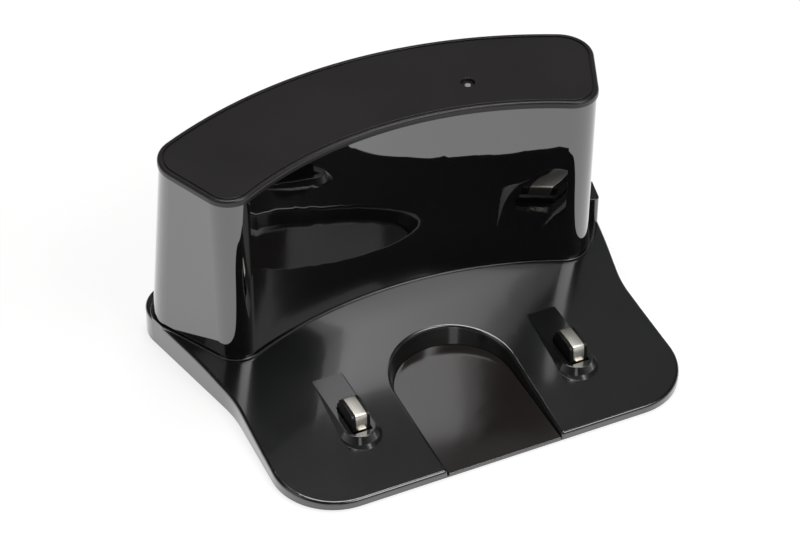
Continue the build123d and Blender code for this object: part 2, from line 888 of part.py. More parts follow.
with BuildPart() as upright_screws:
    deck_underside = deck_height - base_wall
    with Locations([(x, y, deck_underside) for x, y in mirrored(upright_screw_places)]):
        Cylinder(
            screw_head_diameter / 2,
            screw_head_height,
            align=(Align.CENTER, Align.CENTER, Align.MAX),
        )
        Cylinder(
            screw_diameter / 2,
            base_wall + upright_screw_reach - screw_end_gap,
            align=(Align.CENTER, Align.CENTER, Align.MIN),
        )

# Spring contacts: a bent metal strip over a plastic carrier that slides on a coil spring
carrier_front = slot_front_y + carrier_front_gap
carrier_back = slot_front_y + slot_length - carrier_clearance
strip_points = [(carrier_back - along, contact_top - drop) for along, drop, _ in strip_back_bends]
strip_points += [(carrier_front + along, contact_top - drop) for along, drop, _ in strip_front_bends]
bend_radii = [radius for *_, radius in strip_back_bends + strip_front_bends if radius]


def strip_face():
    with BuildSketch() as face:
        with BuildLine():
            FilletPolyline(*strip_points, radius=bend_radii)
        trace(line_width=strip_thickness)
    return face.sketch


def carrier_face():
    with BuildSketch() as face:
        with BuildLine():
            FilletPolyline(*strip_points, radius=bend_radii)
            Polyline(
                strip_points[-1],
                (carrier_front, contact_top - carrier_front_drop),
                (carrier_front, flange_bottom),
                (carrier_back, flange_bottom),
                (carrier_back, contact_top - carrier_back_drop),
                strip_points[0],
            )
        make_face()
    return face.sketch


contacts, carriers, springs = {}, {}, {}
for hand, x in contact_sides.items():
    with BuildPart() as contact:
        with BuildSketch(Plane.YZ.offset(x)):
            add(strip_face())
        extrude(amount=strip_width / 2, both=True)
        strip_end_y, strip_end_z = strip_points[-1]
        with Locations((x, strip_end_y, strip_end_z)):
            Box(
                strip_tab_width,
                strip_tab_length,
                strip_thickness,
                align=(Align.CENTER, Align.MAX, Align.MIN),
            )
    contacts[f"contact_{hand}"] = contact

    with BuildPart() as carrier:
        with BuildSketch(Plane.YZ.offset(x)):
            add(carrier_face())
        extrude(amount=slot_width / 2 - carrier_clearance, both=True)
        with Locations((x, slot_center_y, flange_bottom)):
            Box(
                slot_width + 2 * flange_overhang - 2 * carrier_clearance,
                slot_length + 2 * flange_overhang - 2 * carrier_clearance,
                flange_thickness,
                align=(Align.CENTER, Align.CENTER, Align.MIN),
            )
        with Locations((x, slot_center_y, 0)):
            Cylinder(
                spring_bore / 2,
                spring_ceiling,
                align=(Align.CENTER, Align.CENTER, Align.MIN),
                mode=Mode.SUBTRACT,
            )
        add(contact.part, mode=Mode.SUBTRACT)
    carriers[f"contact_carrier_{hand}"] = carrier

    with BuildPart() as spring:
        spring_length = spring_ceiling - cavity_floor - spring_wire
        with BuildLine():
            coil = Helix(
                pitch=spring_length / spring_turns,
                height=spring_length,
                radius=spring_mean_diameter / 2,
                center=(x, slot_center_y, cavity_floor + spring_wire / 2),
            )
        with BuildSketch(Plane(origin=coil @ 0, z_dir=coil % 0)):
            Circle(spring_wire / 2)
        sweep(is_frenet=True)
    springs[f"contact_spring_{hand}"] = spring

# Every finished piece under the name it has in the assembly
pieces = {
    "base_casing": base_casing,
    "bottom_plate": bottom_plate,
    "recess_pad": recess_pad,
    "ir_window": ir_window,
    "rear_cover": rear_cover,
    "lid": lid,
    "light_pipe": light_pipe,
    "inner_frame": inner_frame,
    "main_board": main_board,
    "status_lamp": status_lamp,
    "board_connector": board_connector,
    **emitters,
    "beacon_shroud": beacon_shroud,
    "power_socket": power_socket,
    "block_cap": block_cap,
    "ballast_plate": ballast_plate,
    **feet,
    "base_screws": base_screws,
    "upright_screws": upright_screws,
    **contacts,
    **carriers,
    **springs,
}
os.makedirs("parts", exist_ok=True)
for name, piece in pieces.items():
    piece.part.label = name
    export_step(piece.part, f"parts/{name}.step")
    box = piece.part.bounding_box()
    print(f"{name:24s} {len(piece.part.solids())} solid(s) {box.size.X:7.1f} {box.size.Y:7.1f} {box.size.Z:7.1f}")
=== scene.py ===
import bpy
import bmesh
import json
import math
from mathutils import Matrix, Quaternion, Vector


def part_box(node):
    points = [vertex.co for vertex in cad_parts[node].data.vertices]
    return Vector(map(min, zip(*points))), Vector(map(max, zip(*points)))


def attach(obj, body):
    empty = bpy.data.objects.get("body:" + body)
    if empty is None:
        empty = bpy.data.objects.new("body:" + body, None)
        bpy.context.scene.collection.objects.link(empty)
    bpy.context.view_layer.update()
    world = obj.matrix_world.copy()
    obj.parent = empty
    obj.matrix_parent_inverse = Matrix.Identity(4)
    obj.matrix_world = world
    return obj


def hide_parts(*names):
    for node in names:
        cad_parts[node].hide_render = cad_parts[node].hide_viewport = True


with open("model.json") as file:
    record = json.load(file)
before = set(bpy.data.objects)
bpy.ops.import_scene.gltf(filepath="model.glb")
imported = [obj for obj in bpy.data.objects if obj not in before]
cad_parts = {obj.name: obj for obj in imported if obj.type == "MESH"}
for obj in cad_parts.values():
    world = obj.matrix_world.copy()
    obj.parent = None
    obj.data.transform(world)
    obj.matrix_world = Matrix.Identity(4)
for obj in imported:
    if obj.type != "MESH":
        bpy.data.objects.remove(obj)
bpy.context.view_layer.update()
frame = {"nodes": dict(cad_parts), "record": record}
nodes = frame["nodes"]
print("loaded", len(nodes), "dock parts")

mm = 0.001


# camera at the photograph's angle
view = {
    "azimuth": -25.694,
    "elevation": 40.343,
    "roll": 0.583,
    "distance": 1.62772,
    "target": (0.015667, 0.055381, 0.0),
    "lens": 139.316,
    "sensorWidth": 36.0,
    "clip": (0.05, 30.0),
}


def placeCamera():
    azimuth, elevation, roll = (math.radians(view[k]) for k in ("azimuth", "elevation", "roll"))
    back = Vector((
        math.sin(azimuth) * math.cos(elevation),
        -math.cos(azimuth) * math.cos(elevation),
        math.sin(elevation),
    ))
    right = Vector((math.cos(azimuth), math.sin(azimuth), 0.0))
    up = back.cross(right)
    tiltedRight = math.cos(roll) * right + math.sin(roll) * up
    tiltedUp = math.cos(roll) * up - math.sin(roll) * right
    camera = bpy.data.objects.new("dockCamera", bpy.data.cameras.new("dockCamera"))
    camera.data.lens = view["lens"]
    camera.data.sensor_width = view["sensorWidth"]
    camera.data.clip_start, camera.data.clip_end = view["clip"]
    turn = Matrix((tiltedRight, tiltedUp, back)).transposed().to_4x4()
    place = Vector(view["target"]) + view["distance"] * back
    camera.matrix_world = Matrix.Translation(place) @ turn
    bpy.context.scene.collection.objects.link(camera)
    bpy.context.scene.camera = camera


placeCamera()


# floor, room and softboxes
studio = {
    "floorSize": 12.0,
    "floorGrain": 40.0,
    "paper": ((0.84, 0.84, 0.84, 1.0), (0.88, 0.88, 0.88, 1.0)),
    # the paper as the camera and the reflections see it, and the plain white added to it there
    "paperSeen": ((0.38, 0.38, 0.38, 1.0), (0.39, 0.39, 0.38, 1.0)),
    "whiteSeen": 0.80,
    "roomLow": (0.50, 0.50, 0.49, 1.0),
    "roomHigh": (0.05, 0.05, 0.052, 1.0),
    "roomHorizon": (0.02, 0.28),
    "roomLight": 1.0,
    "softboxAim": (0.0, 0.03, 0.03),
}

softboxes = {
    # name: (direction towards it, distance, width, height, turn about its own axis, power)
    "softboxKey": ((0.286, -0.538, 0.793), 1.6, 0.76, 0.54, 25.0, 2.85),
    "softboxKeyEdge": ((0.286, -0.538, 0.793), 1.61, 0.94, 0.72, 25.0, 3.6),
    "softboxTop": ((0.088, 0.188, 0.978), 1.9, 0.9, 0.9, 0.0, 12.0),
    "softboxBack": ((0.354, 0.612, 0.707), 2.0, 1.6, 1.2, 0.0, 0.36),
    "softboxLow": ((-0.364, -0.900, 0.242), 2.0, 0.45, 0.30, 0.0, 0.4),
    "softboxSkirt": ((0.541, -0.601, 0.588), 1.62, 0.69, 0.23, 0.0, 0.44),
    "softboxLeft": ((-0.74, -0.065, 0.67), 2.2, 1.0, 1.4, 0.0, 2.4),
}


def newTree(name):
    material = bpy.data.materials.new(name)
    material.use_nodes = True
    tree = material.node_tree
    tree.nodes.clear()
    return material, tree.nodes, tree.links


def floorFinish():
    material, parts, links = newTree("studioFloor")
    ray = parts.new("ShaderNodeLightPath")
    seen = ray.outputs["Is Camera Ray"]
    for name in ("Is Glossy Ray", "Is Transmission Ray"):
        either = parts.new("ShaderNodeMath")
        either.operation = "MAXIMUM"
        links.new(seen, either.inputs[0])
        links.new(ray.outputs[name], either.inputs[1])
        seen = either.outputs[0]
    grain = parts.new("ShaderNodeTexNoise")
    grain.inputs["Scale"].default_value = studio["floorGrain"]
    tones = []
    for dark, light in (studio["paper"], studio["paperSeen"]):
        tone = parts.new("ShaderNodeMixRGB")
        tone.inputs["Color1"].default_value = dark
        tone.inputs["Color2"].default_value = light
        links.new(grain.outputs["Fac"], tone.inputs["Fac"])
        tones.append(tone.outputs["Color"])
    lit = parts.new("ShaderNodeMixRGB")
    links.new(seen, lit.inputs["Fac"])
    links.new(tones[0], lit.inputs["Color1"])
    links.new(tones[1], lit.inputs["Color2"])
    paper = parts.new("ShaderNodeBsdfDiffuse")
    links.new(lit.outputs["Color"], paper.inputs["Color"])
    glow = parts.new("ShaderNodeMath")
    glow.operation = "MULTIPLY"
    glow.inputs[1].default_value = studio["whiteSeen"]
    links.new(seen, glow.inputs[0])
    white = parts.new("ShaderNodeEmission")
    links.new(glow.outputs[0], white.inputs["Strength"])
    blend = parts.new("ShaderNodeAddShader")
    links.new(paper.outputs[0], blend.inputs[0])
    links.new(white.outputs[0], blend.inputs[1])
    out = parts.new("ShaderNodeOutputMaterial")
    links.new(blend.outputs[0], out.inputs["Surface"])
    return material


def buildStudio():
    half = studio["floorSize"] / 2
    corners = [(-half, -half, 0), (half, -half, 0), (half, half, 0), (-half, half, 0)]
    mesh = bpy.data.meshes.new("studioFloor")
    mesh.from_pydata(corners, [], [(0, 1, 2, 3)])
    floor = bpy.data.objects.new("studioFloor", mesh)
    bpy.context.scene.collection.objects.link(floor)
    floor.data.materials.append(floorFinish())

    world = bpy.data.worlds.new("studioRoom")
    bpy.context.scene.world = world
    world.use_nodes = True
    parts, links = world.node_tree.nodes, world.node_tree.links
    parts.clear()
    place = parts.new("ShaderNodeTexCoord")
    split = parts.new("ShaderNodeSeparateXYZ")
    links.new(place.outputs["Generated"], split.inputs[0])
    ramp = parts.new("ShaderNodeValToRGB")
    lower, upper = ramp.color_ramp.elements
    lower.position, upper.position = studio["roomHorizon"]
    lower.color, upper.color = studio["roomLow"], studio["roomHigh"]
    links.new(split.outputs["Z"], ramp.inputs["Fac"])
    shine = parts.new("ShaderNodeBackground")
    shine.inputs["Strength"].default_value = studio["roomLight"]
    links.new(ramp.outputs["Color"], shine.inputs["Color"])
    out = parts.new("ShaderNodeOutputWorld")
    links.new(shine.outputs[0], out.inputs["Surface"])

    for name, (towards, distance, width, height, turn, power) in softboxes.items():
        lamp = bpy.data.lights.new(name, "AREA")
        lamp.shape = "RECTANGLE"
        lamp.size = width
        lamp.size_y = height
        lamp.energy = power
        holder = bpy.data.objects.new(name, lamp)
        direction = Vector(towards).normalized()
        holder.location = direction * distance + Vector(studio["softboxAim"])
        facing = direction.to_track_quat("Z", "Y") @ Quaternion((0, 0, 1), math.radians(turn))
        holder.rotation_euler = facing.to_euler()
        bpy.context.scene.collection.objects.link(holder)


buildStudio()
print("studio ready:", len(softboxes), "softboxes")


# moulded plastics: what they share, each one's own values, and the tree that uses them
mouldedPlastic = {
    "ior": 1.5,
    "coat": 0.0,
    "coatIor": 1.5,
    "coatRoughness": 0.05,
    "driftScale": 18.0,
    "driftDetail": 3.0,
    "patchScale": 30.0,
    "patchDetail": 5.0,
    "noiseSpan": (0.3, 0.7),  # the stretch of a noise's values that the tones and patches use
    "dustScale": 95.0,
    "dustSize": (0.02, 0.032),
    "dustColour": (0.30, 0.29, 0.27, 1.0),
    "grainDetail": 2.0,
    "softEdge": 0.0002,  # m, the radius that edges seem to have
    "softEdgeSamples": 4,
}
baseLook = {
    "colours": ((0.008, 0.0084, 0.0084), (0.011, 0.0115, 0.0112)),
    "roughness": (0.16, 0.20),
    "ior": 1.68,
    "coat": 1.0,
    "coatIor": 1.68,
    "coatRoughness": 0.09,
    "grainScale": 2600.0,
    "grainStrength": 0.25,
    "grainDepth": 0.00003,
    "dustTone": 0.25,
}
lidLook = {
    "colours": ((0.023, 0.0205, 0.021), (0.030, 0.027, 0.0275)),
    "roughness": (0.27, 0.30),
    "ior": 1.55,
    "grainScale": 3200.0,
    "grainStrength": 0.2,
    "grainDepth": 0.00002,
    "dustTone": 0.35,
}
windowLook = {
    "colours": ((0.003, 0.003, 0.0035), (0.005, 0.005, 0.0055)),
    "roughness": (0.015, 0.03),
    "ior": 1.8,
    "coat": 1.0,
    "coatIor": 1.8,
    "coatRoughness": 0.01,
    "grainScale": 9.0,
    "grainStrength": 0.006,
    "grainDepth": 0.0004,
    "dustTone": 0.3,
}
padLook = {
    "colours": ((0.020, 0.015, 0.0145), (0.026, 0.019, 0.018)),
    "roughness": (0.13, 0.18),
    "ior": 1.68,
    "coat": 1.0,
    "coatIor": 1.68,
    "coatRoughness": 0.13,
    "grainScale": 1400.0,
    "grainStrength": 0.06,
    "grainDepth": 0.00002,
    "dustTone": 0.7,
}
innerLook = {
    "colours": ((0.016, 0.016, 0.016), (0.024, 0.024, 0.024)),
    "roughness": (0.42, 0.55),
    "grainScale": 1800.0,
    "grainStrength": 0.3,
    "grainDepth": 0.00003,
    "dustTone": 0.3,
}
carrierLook = {
    "colours": ((0.006, 0.006, 0.006), (0.010, 0.010, 0.010)),
    "roughness": (0.25, 0.33),
    "grainScale": 1500.0,
    "grainStrength": 0.15,
    "grainDepth": 0.00002,
    "dustTone": 0.2,
}
lensLook = {
    "colours": ((0.42, 0.43, 0.44), (0.52, 0.53, 0.54)),
    "roughness": (0.08, 0.14),
    "grainScale": 900.0,
    "grainStrength": 0.05,
    "grainDepth": 0.00002,
    "dustTone": 0.1,
}
beaconLook = {
    "colours": ((0.020, 0.012, 0.030), (0.034, 0.020, 0.048)),
    "roughness": (0.05, 0.09),
    "ior": 1.55,
    "grainScale": 700.0,
    "grainStrength": 0.03,
    "grainDepth": 0.00002,
    "dustTone": 0.1,
}
boardLook = {
    "colours": ((0.012, 0.090, 0.035), (0.020, 0.130, 0.050)),
    "roughness": (0.28, 0.36),
    "ior": 1.55,
    "coat": 0.4,
    "grainScale": 1200.0,
    "grainStrength": 0.25,
    "grainDepth": 0.00004,
    "dustTone": 0.1,
}
connectorLook = {
    "colours": ((0.66, 0.64, 0.58), (0.74, 0.72, 0.66)),
    "roughness": (0.35, 0.45),
    "grainScale": 1500.0,
    "grainStrength": 0.1,
    "grainDepth": 0.00002,
    "dustTone": 0.1,
}
rubberLook = {
    "colours": ((0.022, 0.022, 0.022), (0.036, 0.036, 0.036)),
    "roughness": (0.65, 0.80),
    "ior": 1.45,
    "grainScale": 1100.0,
    "grainStrength": 0.5,
    "grainDepth": 0.00006,
    "dustTone": 0.5,
}


def toneRamp(parts, colours, span):
    ramp = parts.new("ShaderNodeValToRGB")
    for stop, position, colour in zip(ramp.color_ramp.elements, span, colours):
        stop.position = position
        stop.color = (*colour, 1.0)
    return ramp


def plasticFinish(name, ownLook):
    look = {**mouldedPlastic, **ownLook}
    material, parts, links = newTree(name)
    shader = parts.new("ShaderNodeBsdfPrincipled")
    out = parts.new("ShaderNodeOutputMaterial")
    links.new(shader.outputs[0], out.inputs["Surface"])
    shader.inputs["IOR"].default_value = look["ior"]
    shader.inputs["Coat Weight"].default_value = look["coat"]
    shader.inputs["Coat IOR"].default_value = look["coatIor"]
    shader.inputs["Coat Roughness"].default_value = look["coatRoughness"]
    place = parts.new("ShaderNodeTexCoord")

    # colour drifts a little over the moulding, with fine specks on it
    drift = parts.new("ShaderNodeTexNoise")
    drift.inputs["Scale"].default_value = look["driftScale"]
    drift.inputs["Detail"].default_value = look["driftDetail"]
    links.new(place.outputs["Object"], drift.inputs["Vector"])
    tone = toneRamp(parts, look["colours"], look["noiseSpan"])
    links.new(drift.outputs["Fac"], tone.inputs["Fac"])
    dust = parts.new("ShaderNodeTexVoronoi")
    dust.inputs["Scale"].default_value = look["dustScale"]
    links.new(place.outputs["Object"], dust.inputs["Vector"])
    dustSize = parts.new("ShaderNodeMapRange")
    dustSize.inputs["From Min"].default_value = look["dustSize"][0]
    dustSize.inputs["From Max"].default_value = look["dustSize"][1]
    dustSize.inputs["To Min"].default_value = look["dustTone"]
    dustSize.inputs["To Max"].default_value = 0.0
    links.new(dust.outputs["Distance"], dustSize.inputs["Value"])
    speck = parts.new("ShaderNodeMixRGB")
    speck.inputs["Color2"].default_value = look["dustColour"]
    links.new(dustSize.outputs[0], speck.inputs["Fac"])
    links.new(tone.outputs["Color"], speck.inputs["Color1"])
    links.new(speck.outputs["Color"], shader.inputs["Base Color"])

    # roughness drifts too, in broad handled patches
    patch = parts.new("ShaderNodeTexNoise")
    patch.inputs["Scale"].default_value = look["patchScale"]
    patch.inputs["Detail"].default_value = look["patchDetail"]
    links.new(place.outputs["Object"], patch.inputs["Vector"])
    rough = parts.new("ShaderNodeMapRange")
    rough.inputs["From Min"].default_value = look["noiseSpan"][0]
    rough.inputs["From Max"].default_value = look["noiseSpan"][1]
    rough.inputs["To Min"].default_value = look["roughness"][0]
    rough.inputs["To Max"].default_value = look["roughness"][1]
    links.new(patch.outputs["Fac"], rough.inputs["Value"])
    links.new(rough.outputs[0], shader.inputs["Roughness"])

    # the mould's fine grain, or the slow ripple of a polished face, over softened edges
    grain = parts.new("ShaderNodeTexNoise")
    grain.inputs["Scale"].default_value = look["grainScale"]
    grain.inputs["Detail"].default_value = look["grainDetail"]
    links.new(place.outputs["Object"], grain.inputs["Vector"])
    bump = parts.new("ShaderNodeBump")
    bump.inputs["Strength"].default_value = look["grainStrength"]
    bump.inputs["Distance"].default_value = look["grainDepth"]
    links.new(grain.outputs["Fac"], bump.inputs["Height"])
    softEdge = parts.new("ShaderNodeBevel")
    softEdge.samples = look["softEdgeSamples"]
    softEdge.inputs["Radius"].default_value = look["softEdge"]
    links.new(softEdge.outputs["Normal"], bump.inputs["Normal"])
    links.new(bump.outputs["Normal"], shader.inputs["Normal"])
    return material


# metals, laid out the same way
brushedMetal = {"brushDetail": 4.0, "brushDepth": 0.00002, "noiseSpan": (0.35, 0.65)}
contactLook = {
    "colours": ((0.84, 0.80, 0.71), (0.94, 0.91, 0.84)),
    "roughness": (0.32, 0.40),
    "brushScale": (2600.0, 160.0, 160.0),
    "brushStrength": 0.15,
}
springLook = {
    "colours": ((0.48, 0.48, 0.48), (0.62, 0.62, 0.62)),
    "roughness": (0.22, 0.34),
    "brushScale": (700.0, 700.0, 700.0),
    "brushStrength": 0.1,
}
screwLook = {
    "colours": ((0.42, 0.42, 0.43), (0.58, 0.58, 0.59)),
    "roughness": (0.26, 0.40),
    "brushScale": (900.0, 900.0, 900.0),
    "brushStrength": 0.15,
}
ballastLook = {
    "colours": ((0.26, 0.26, 0.27), (0.40, 0.40, 0.41)),
    "roughness": (0.40, 0.58),
    "brushScale": (60.0, 900.0, 400.0),
    "brushStrength": 0.2,
}


def metalFinish(name, ownLook):
    look = {**brushedMetal, **ownLook}
    material, parts, links = newTree(name)
    shader = parts.new("ShaderNodeBsdfPrincipled")
    out = parts.new("ShaderNodeOutputMaterial")
    links.new(shader.outputs[0], out.inputs["Surface"])
    shader.inputs["Metallic"].default_value = 1.0
    place = parts.new("ShaderNodeTexCoord")
    stretch = parts.new("ShaderNodeMapping")
    stretch.inputs["Scale"].default_value = look["brushScale"]
    links.new(place.outputs["Object"], stretch.inputs["Vector"])
    brush = parts.new("ShaderNodeTexNoise")
    brush.inputs["Scale"].default_value = 1.0
    brush.inputs["Detail"].default_value = look["brushDetail"]
    links.new(stretch.outputs[0], brush.inputs["Vector"])
    tone = toneRamp(parts, look["colours"], look["noiseSpan"])
    links.new(brush.outputs["Fac"], tone.inputs["Fac"])
    links.new(tone.outputs["Color"], shader.inputs["Base Color"])
    rough = parts.new("ShaderNodeMapRange")
    rough.inputs["To Min"].default_value = look["roughness"][0]
    rough.inputs["To Max"].default_value = look["roughness"][1]
    links.new(brush.outputs["Fac"], rough.inputs["Value"])
    links.new(rough.outputs[0], shader.inputs["Roughness"])
    bump = parts.new("ShaderNodeBump")
    bump.inputs["Strength"].default_value = look["brushStrength"]
    bump.inputs["Distance"].default_value = look["brushDepth"]
    links.new(brush.outputs["Fac"], bump.inputs["Height"])
    links.new(bump.outputs["Normal"], shader.inputs["Normal"])
    return material


# finishes by the record's material slots, then the nodes that have one of their own
finishes = {
    "satin_black_plastic": plasticFinish("satinBase", baseLook),
    "lid": plasticFinish("satinLid", lidLook),
    "gloss_window": plasticFinish("glossWindow", windowLook),
    "gloss_pad": plasticFinish("glossPad", padLook),
    "black_inner_plastic": plasticFinish("innerPlastic", innerLook),
    "carrier": plasticFinish("contactCarrier", carrierLook),
    "clear_grey_plastic": plasticFinish("greyLens", lensLook),
    "dark_lens_plastic": plasticFinish("beaconLens", beaconLook),
    "board_laminate": plasticFinish("boardLaminate", boardLook),
    "connector_plastic": plasticFinish("connectorPlastic", connectorLook),
    "foot_rubber": plasticFinish("footRubber", rubberLook),
    "nickel_contact": metalFinish("nickelContact", contactLook),
    "spring_steel": metalFinish("springWire", springLook),
    "screw_steel": metalFinish("screwSteel", screwLook),
    "ballast_steel": metalFinish("ballastSteel", ballastLook),
}
ownFinish = {
    "lid": "lid",
    "contact_carrier_left": "carrier",
    "contact_carrier_right": "carrier",
}


def dressNodes():
    slots = {row["node"]: row["material_slot"] for row in frame["record"]["subparts"]}
    for name, part in nodes.items():
        finish = finishes[ownFinish.get(name, slots[name])]
        part.data.materials.clear()
        part.data.materials.append(finish)


dressNodes()
print("finishes on", len(nodes), "parts")


# helpers for the pieces, which are made in mm and scaled down at the end
weldGap = 0.0005
cadWeldGap = 0.001
sharpFrom = 32.0  # degrees
roundSteps = 5


def boxInMm(name):
    low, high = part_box(name)
    return Vector(low) / mm, Vector(high) / mm


def pieceFrom(form, name, finish, body="dock", replaced=()):
    mesh = bpy.data.meshes.new(name)
    bmesh.ops.remove_doubles(form, verts=form.verts, dist=weldGap)
    bmesh.ops.recalc_face_normals(form, faces=form.faces)
    bmesh.ops.scale(form, vec=(mm, mm, mm), verts=form.verts)
    form.to_mesh(mesh)
    form.free()
    for face in mesh.polygons:
        face.use_smooth = True
    piece = bpy.data.objects.new(name, mesh)
    bpy.context.scene.collection.objects.link(piece)
    mesh.materials.append(finishes[finish])
    mesh.set_sharp_from_angle(angle=math.radians(sharpFrom))
    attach(piece, body)
    if replaced:
        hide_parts(*replaced)


def joinRings(form, rings):
    count = len(rings[0])
    for one, two in zip(rings, rings[1:]):
        for i in range(count):
            j = (i + 1) % count
            form.faces.new((one[i], one[j], two[j], two[i]))
    form.faces.new(rings[0])
    form.faces.new(rings[-1])


def roundedEdge(radius, floorZ, rounding):
    # the quarter turn of a lathe profile from the end face to the side
    return [
        (radius - rounding * (1 - math.sin(a)), floorZ + rounding * (1 - math.cos(a)))
        for a in (math.radians(90 * k / roundSteps) for k in range(roundSteps + 1))
    ]


def lathe(form, profile, spot, steps, axis="Z"):
    # turns a (radius, height) profile round an axis through the spot; a radius of 0 closes it
    turn = {"Z": Matrix.Identity(3), "X": Matrix.Rotation(math.radians(90), 3, "Y")}[axis]
    rings = []
    for radius, height in profile:
        count = 1 if radius == 0 else steps
        rings.append([
            form.verts.new(Vector(spot) + turn @ Vector((
                radius * math.cos(2 * math.pi * i / count),
                radius * math.sin(2 * math.pi * i / count),
                height,
            )))
            for i in range(count)
        ])
    for lower, upper in zip(rings, rings[1:]):
        for i in range(steps):
            j = (i + 1) % steps
            ends = [
                lower[i % len(lower)], lower[j % len(lower)],
                upper[j % len(upper)], upper[i % len(upper)],
            ]
            corners = [vert for k, vert in enumerate(ends) if vert not in ends[:k]]
            if len(corners) > 2:
                form.faces.new(corners)
    return rings


def looseBoxes(name):
    # the corners of each separate solid in a node, in mm
    form = bmesh.new()
    form.from_mesh(nodes[name].data)
    bmesh.ops.remove_doubles(form, verts=form.verts, dist=cadWeldGap * mm)
    waiting = set(form.verts)
    found = []
    while waiting:
        group, front = set(), [waiting.pop()]
        while front:
            vert = front.pop()
            group.add(vert)
            for edge in vert.link_edges:
                other = edge.other_vert(vert)
                if other in waiting:
                    waiting.remove(other)
                    front.append(other)
        spots = [vert.co / mm for vert in group]
        found.append((
            Vector([min(spot[i] for spot in spots) for i in range(3)]),
            Vector([max(spot[i] for spot in spots) for i in range(3)]),
        ))
    form.free()
    return sorted(found, key=lambda box: (round(box[0].y, 1), round(box[0].x, 1)))


# sprung contacts: a nickel strip with a soft crown, a joggled front face and a tab at its foot
contactStrip = {
    "width": 6.0,
    "thickness": 0.45,
    "edgeRound": 0.14,
    "edgeSteps": 4,
    "tabWidth": 4.4,
    "tabLength": 1.2,
    "tabOverlap": 0.1,
    "backLeg": (0.24, 4.95),  # how far in from the back, and below the top, the strip ends
    "backBend": (1.45, 0.80, 2.0),  # the same for its bend, and the bend's radius
    "frontBend": (0.9, 0.55, 1.1),  # the same, from the front face
    "crownRise": 0.24,  # the crest lies this far below the CAD's top
    "crownEnds": (2.2, 1.2),  # the crown's points stop this far short of the two bends
    "joggle": (2.3, 0.5, 0.14),  # depth below the top, height and step
    "joggleAhead": 0.30,
    "foot": (0.2, 0.4),  # how far back the front face meets the foot, and the last straight
    "crownSteps": 24,
    "bendSteps": 7,
    "bendAim": 4,  # the crown point, counted from its end, that a bend leads to
}


def bendPoints(before, corner, after, radius, steps):
    # the arc that rounds the corner of a path
    into, out = (before - corner).normalized(), (after - corner).normalized()
    half = into.angle(out) / 2
    reach = radius / math.tan(half)
    centre = corner + (into + out).normalized() * radius / math.sin(half)
    start, end = corner + into * reach - centre, corner + out * reach - centre
    sweep = start.angle_signed(end)
    return [centre + Matrix.Rotation(-sweep * k / steps, 2) @ start for k in range(steps + 1)]


def stripPath(low, high):
    # the strip's middle line seen from the side, as (y, z) points from the back leg to the foot
    look = contactStrip
    front = low.y + look["tabLength"]
    top, bottom = high.z, low.z + look["thickness"] / 2
    crest = top - look["crownRise"]
    legEnd = Vector((high.y - look["backLeg"][0], top - look["backLeg"][1]))
    back = Vector((high.y - look["backBend"][0], top - look["backBend"][1]))
    nose = Vector((front + look["frontBend"][0], top - look["frontBend"][1]))
    backReach, noseReach = math.sqrt(crest - back.y), math.sqrt(crest - nose.y)
    crestY = back.x - (back.x - nose.x) * backReach / (backReach + noseReach)
    hollow = (crest - back.y) / (back.x - crestY) ** 2
    crown = []
    for k in range(look["crownSteps"] + 1):
        y = back.x + (nose.x - back.x) * k / look["crownSteps"]
        crown.append(Vector((y, crest - hollow * (y - crestY) ** 2)))
    below, tall, step = look["joggle"]
    faceY = nose.x - look["joggleAhead"]
    joggle = [Vector((faceY, top - below)), Vector((faceY - step, top - below - tall))]
    foot = Vector((front + look["foot"][0], bottom))

    aim, steps = look["bendAim"], look["bendSteps"]
    backMost, frontMost = back.x - look["crownEnds"][0], nose.x + look["crownEnds"][1]
    path = [legEnd]
    path += bendPoints(legEnd, back, crown[aim], look["backBend"][2], steps)
    path += [spot for spot in crown if backMost > spot.x > frontMost]
    path += bendPoints(crown[-aim], nose, joggle[0], look["frontBend"][2], steps)
    path += joggle
    path += [foot + Vector((0, look["foot"][1])), foot]
    return path


def stripSection(width):
    # a flat bar's section with rounded edges
    thickness, edgeRound, steps = (
        contactStrip[k] for k in ("thickness", "edgeRound", "edgeSteps")
    )
    ring = []
    for k, (sideX, sideZ) in enumerate(((1, 1), (-1, 1), (-1, -1), (1, -1))):
        middle = Vector((sideX * (width / 2 - edgeRound), sideZ * (thickness / 2 - edgeRound)))
        for i in range(steps + 1):
            angle = math.radians(90 * k + 90 * i / steps)
            ring.append(middle + edgeRound * Vector((math.cos(angle), math.sin(angle))))
    return ring


def sweepBar(form, x, path, section):
    rings = []
    for k, spot in enumerate(path):
        ahead = path[min(k + 1, len(path) - 1)] - path[max(k - 1, 0)]
        along = ahead.normalized()
        outward = Vector((-along.y, along.x))
        ring = []
        for across, rise in section:
            place = spot + outward * rise
            ring.append(form.verts.new((x + across, place.x, place.y)))
        rings.append(ring)
    joinRings(form, rings)


def contactPiece(hand):
    look = contactStrip
    low, high = boxInMm(f"contact_{hand}")
    x = (low.x + high.x) / 2
    form = bmesh.new()
    path = stripPath(low, high)
    sweepBar(form, x, path, stripSection(look["width"]))
    foot = path[-1]
    tab = [
        foot + Vector((look["tabOverlap"], 0)),
        foot - Vector((look["tabLength"] / 2, 0)),
        Vector((low.y, foot.y)),
    ]
    sweepBar(form, x, tab, stripSection(look["tabWidth"]))
    name, body = f"contactStrip_{hand}", f"{hand}_contact"
    pieceFrom(form, name, "nickel_contact", body, replaced=[f"contact_{hand}"])


for hand in ("left", "right"):
    contactPiece(hand)
print("contact strips made")


